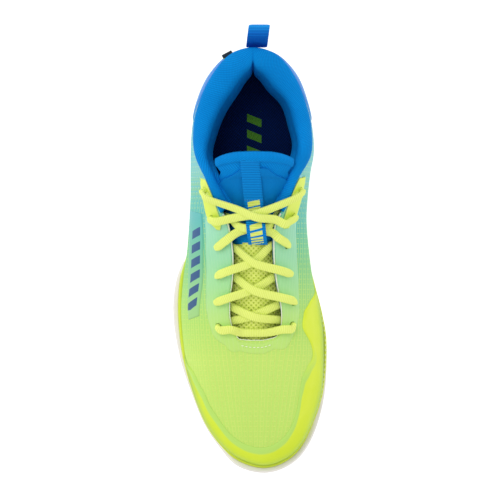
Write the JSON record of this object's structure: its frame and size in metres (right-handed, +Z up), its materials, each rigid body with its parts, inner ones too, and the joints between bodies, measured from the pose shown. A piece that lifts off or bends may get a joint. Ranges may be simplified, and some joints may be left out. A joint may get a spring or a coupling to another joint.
{
  "type": "court shoe",
  "caption": "Right court shoe for racket sports: knit upper with glossy film overlays, padded collar, laced throat, foam midsole and rubber outsole.",
  "frame": {"origin": "middle of the shoe's box, on the ground", "axes": "+Z up, toe towards -Y, heel towards +Y, inner (medial) side towards +X"},
  "size_m": [0.107, 0.308, 0.1123],
  "materials": {
    "rubber": "satin",
    "midsole_foam": "satin",
    "shank_plastic": "gloss",
    "upper_knit": "matt",
    "toe_film": "satin",
    "heel_film": "satin",
    "stay_film": "satin",
    "collar_fabric": "matt",
    "tongue_spacer_mesh": "matt",
    "sockliner_fabric": "matt",
    "lining_fabric": "matt",
    "board": "matt",
    "stiffener": "matt",
    "lace_fabric": "matt",
    "aglet_plastic": "gloss",
    "webbing": "matt",
    "tag_fabric": "matt"
  },
  "bodies": {
    "shoe": {"forefoot_outsole": "rubber", "heel_outsole": "rubber", "midfoot_shank": "shank_plastic", "midsole": "midsole_foam", "insole_board": "board", "upper_mesh": "upper_knit", "vamp_and_quarter_lining": "lining_fabric", "heel_counter": "stiffener", "toe_puff": "stiffener", "toe_film": "toe_film", "eyestay_film": "stay_film", "side_patch": "stay_film", "heel_film": "heel_film", "wing_tab_lateral": "toe_film", "wing_tab_medial": "toe_film", "collar_pad_lateral": "collar_fabric", "collar_pad_medial": "collar_fabric", "tongue_mesh": "tongue_spacer_mesh", "tongue_pad": "collar_fabric", "tongue_panel": "collar_fabric", "tongue_lining": "lining_fabric", "tongue_label": "webbing", "lace": "lace_fabric", "aglet_lateral": "aglet_plastic", "aglet_medial": "aglet_plastic", "heel_tag": "tag_fabric"},
    "tongue_flap": {"tongue_top": "collar_fabric"},
    "pull_loop": {"pull_tab": "webbing"},
    "footbed": {"sockliner_foam": "sockliner_fabric", "sockliner_cloth": "sockliner_fabric"}
  },
  "joints": [
    {"name": "tongue_fold", "type": "hinge", "parent": "shoe", "child": "tongue_flap", "pos_m": [0.003, 0.0517, 0.1056], "axis": [1, 0, 0], "range_deg": [0, 45], "stiffness_Nm_per_rad": 0.02, "deforming": ["tongue_label"]},
    {"name": "pull_tab_bend", "type": "hinge", "parent": "shoe", "child": "pull_loop", "pos_m": [0.0045, 0.1437, 0.0833], "axis": [-1, 0, 0], "range_deg": [0, 40], "stiffness_Nm_per_rad": 0.01},
    {"name": "sockliner_lift", "type": "hinge", "parent": "shoe", "child": "footbed", "pos_m": [0.008, -0.142, 0.0246], "axis": [1, 0, 0], "range_deg": [0, 1.2]}
  ]
}
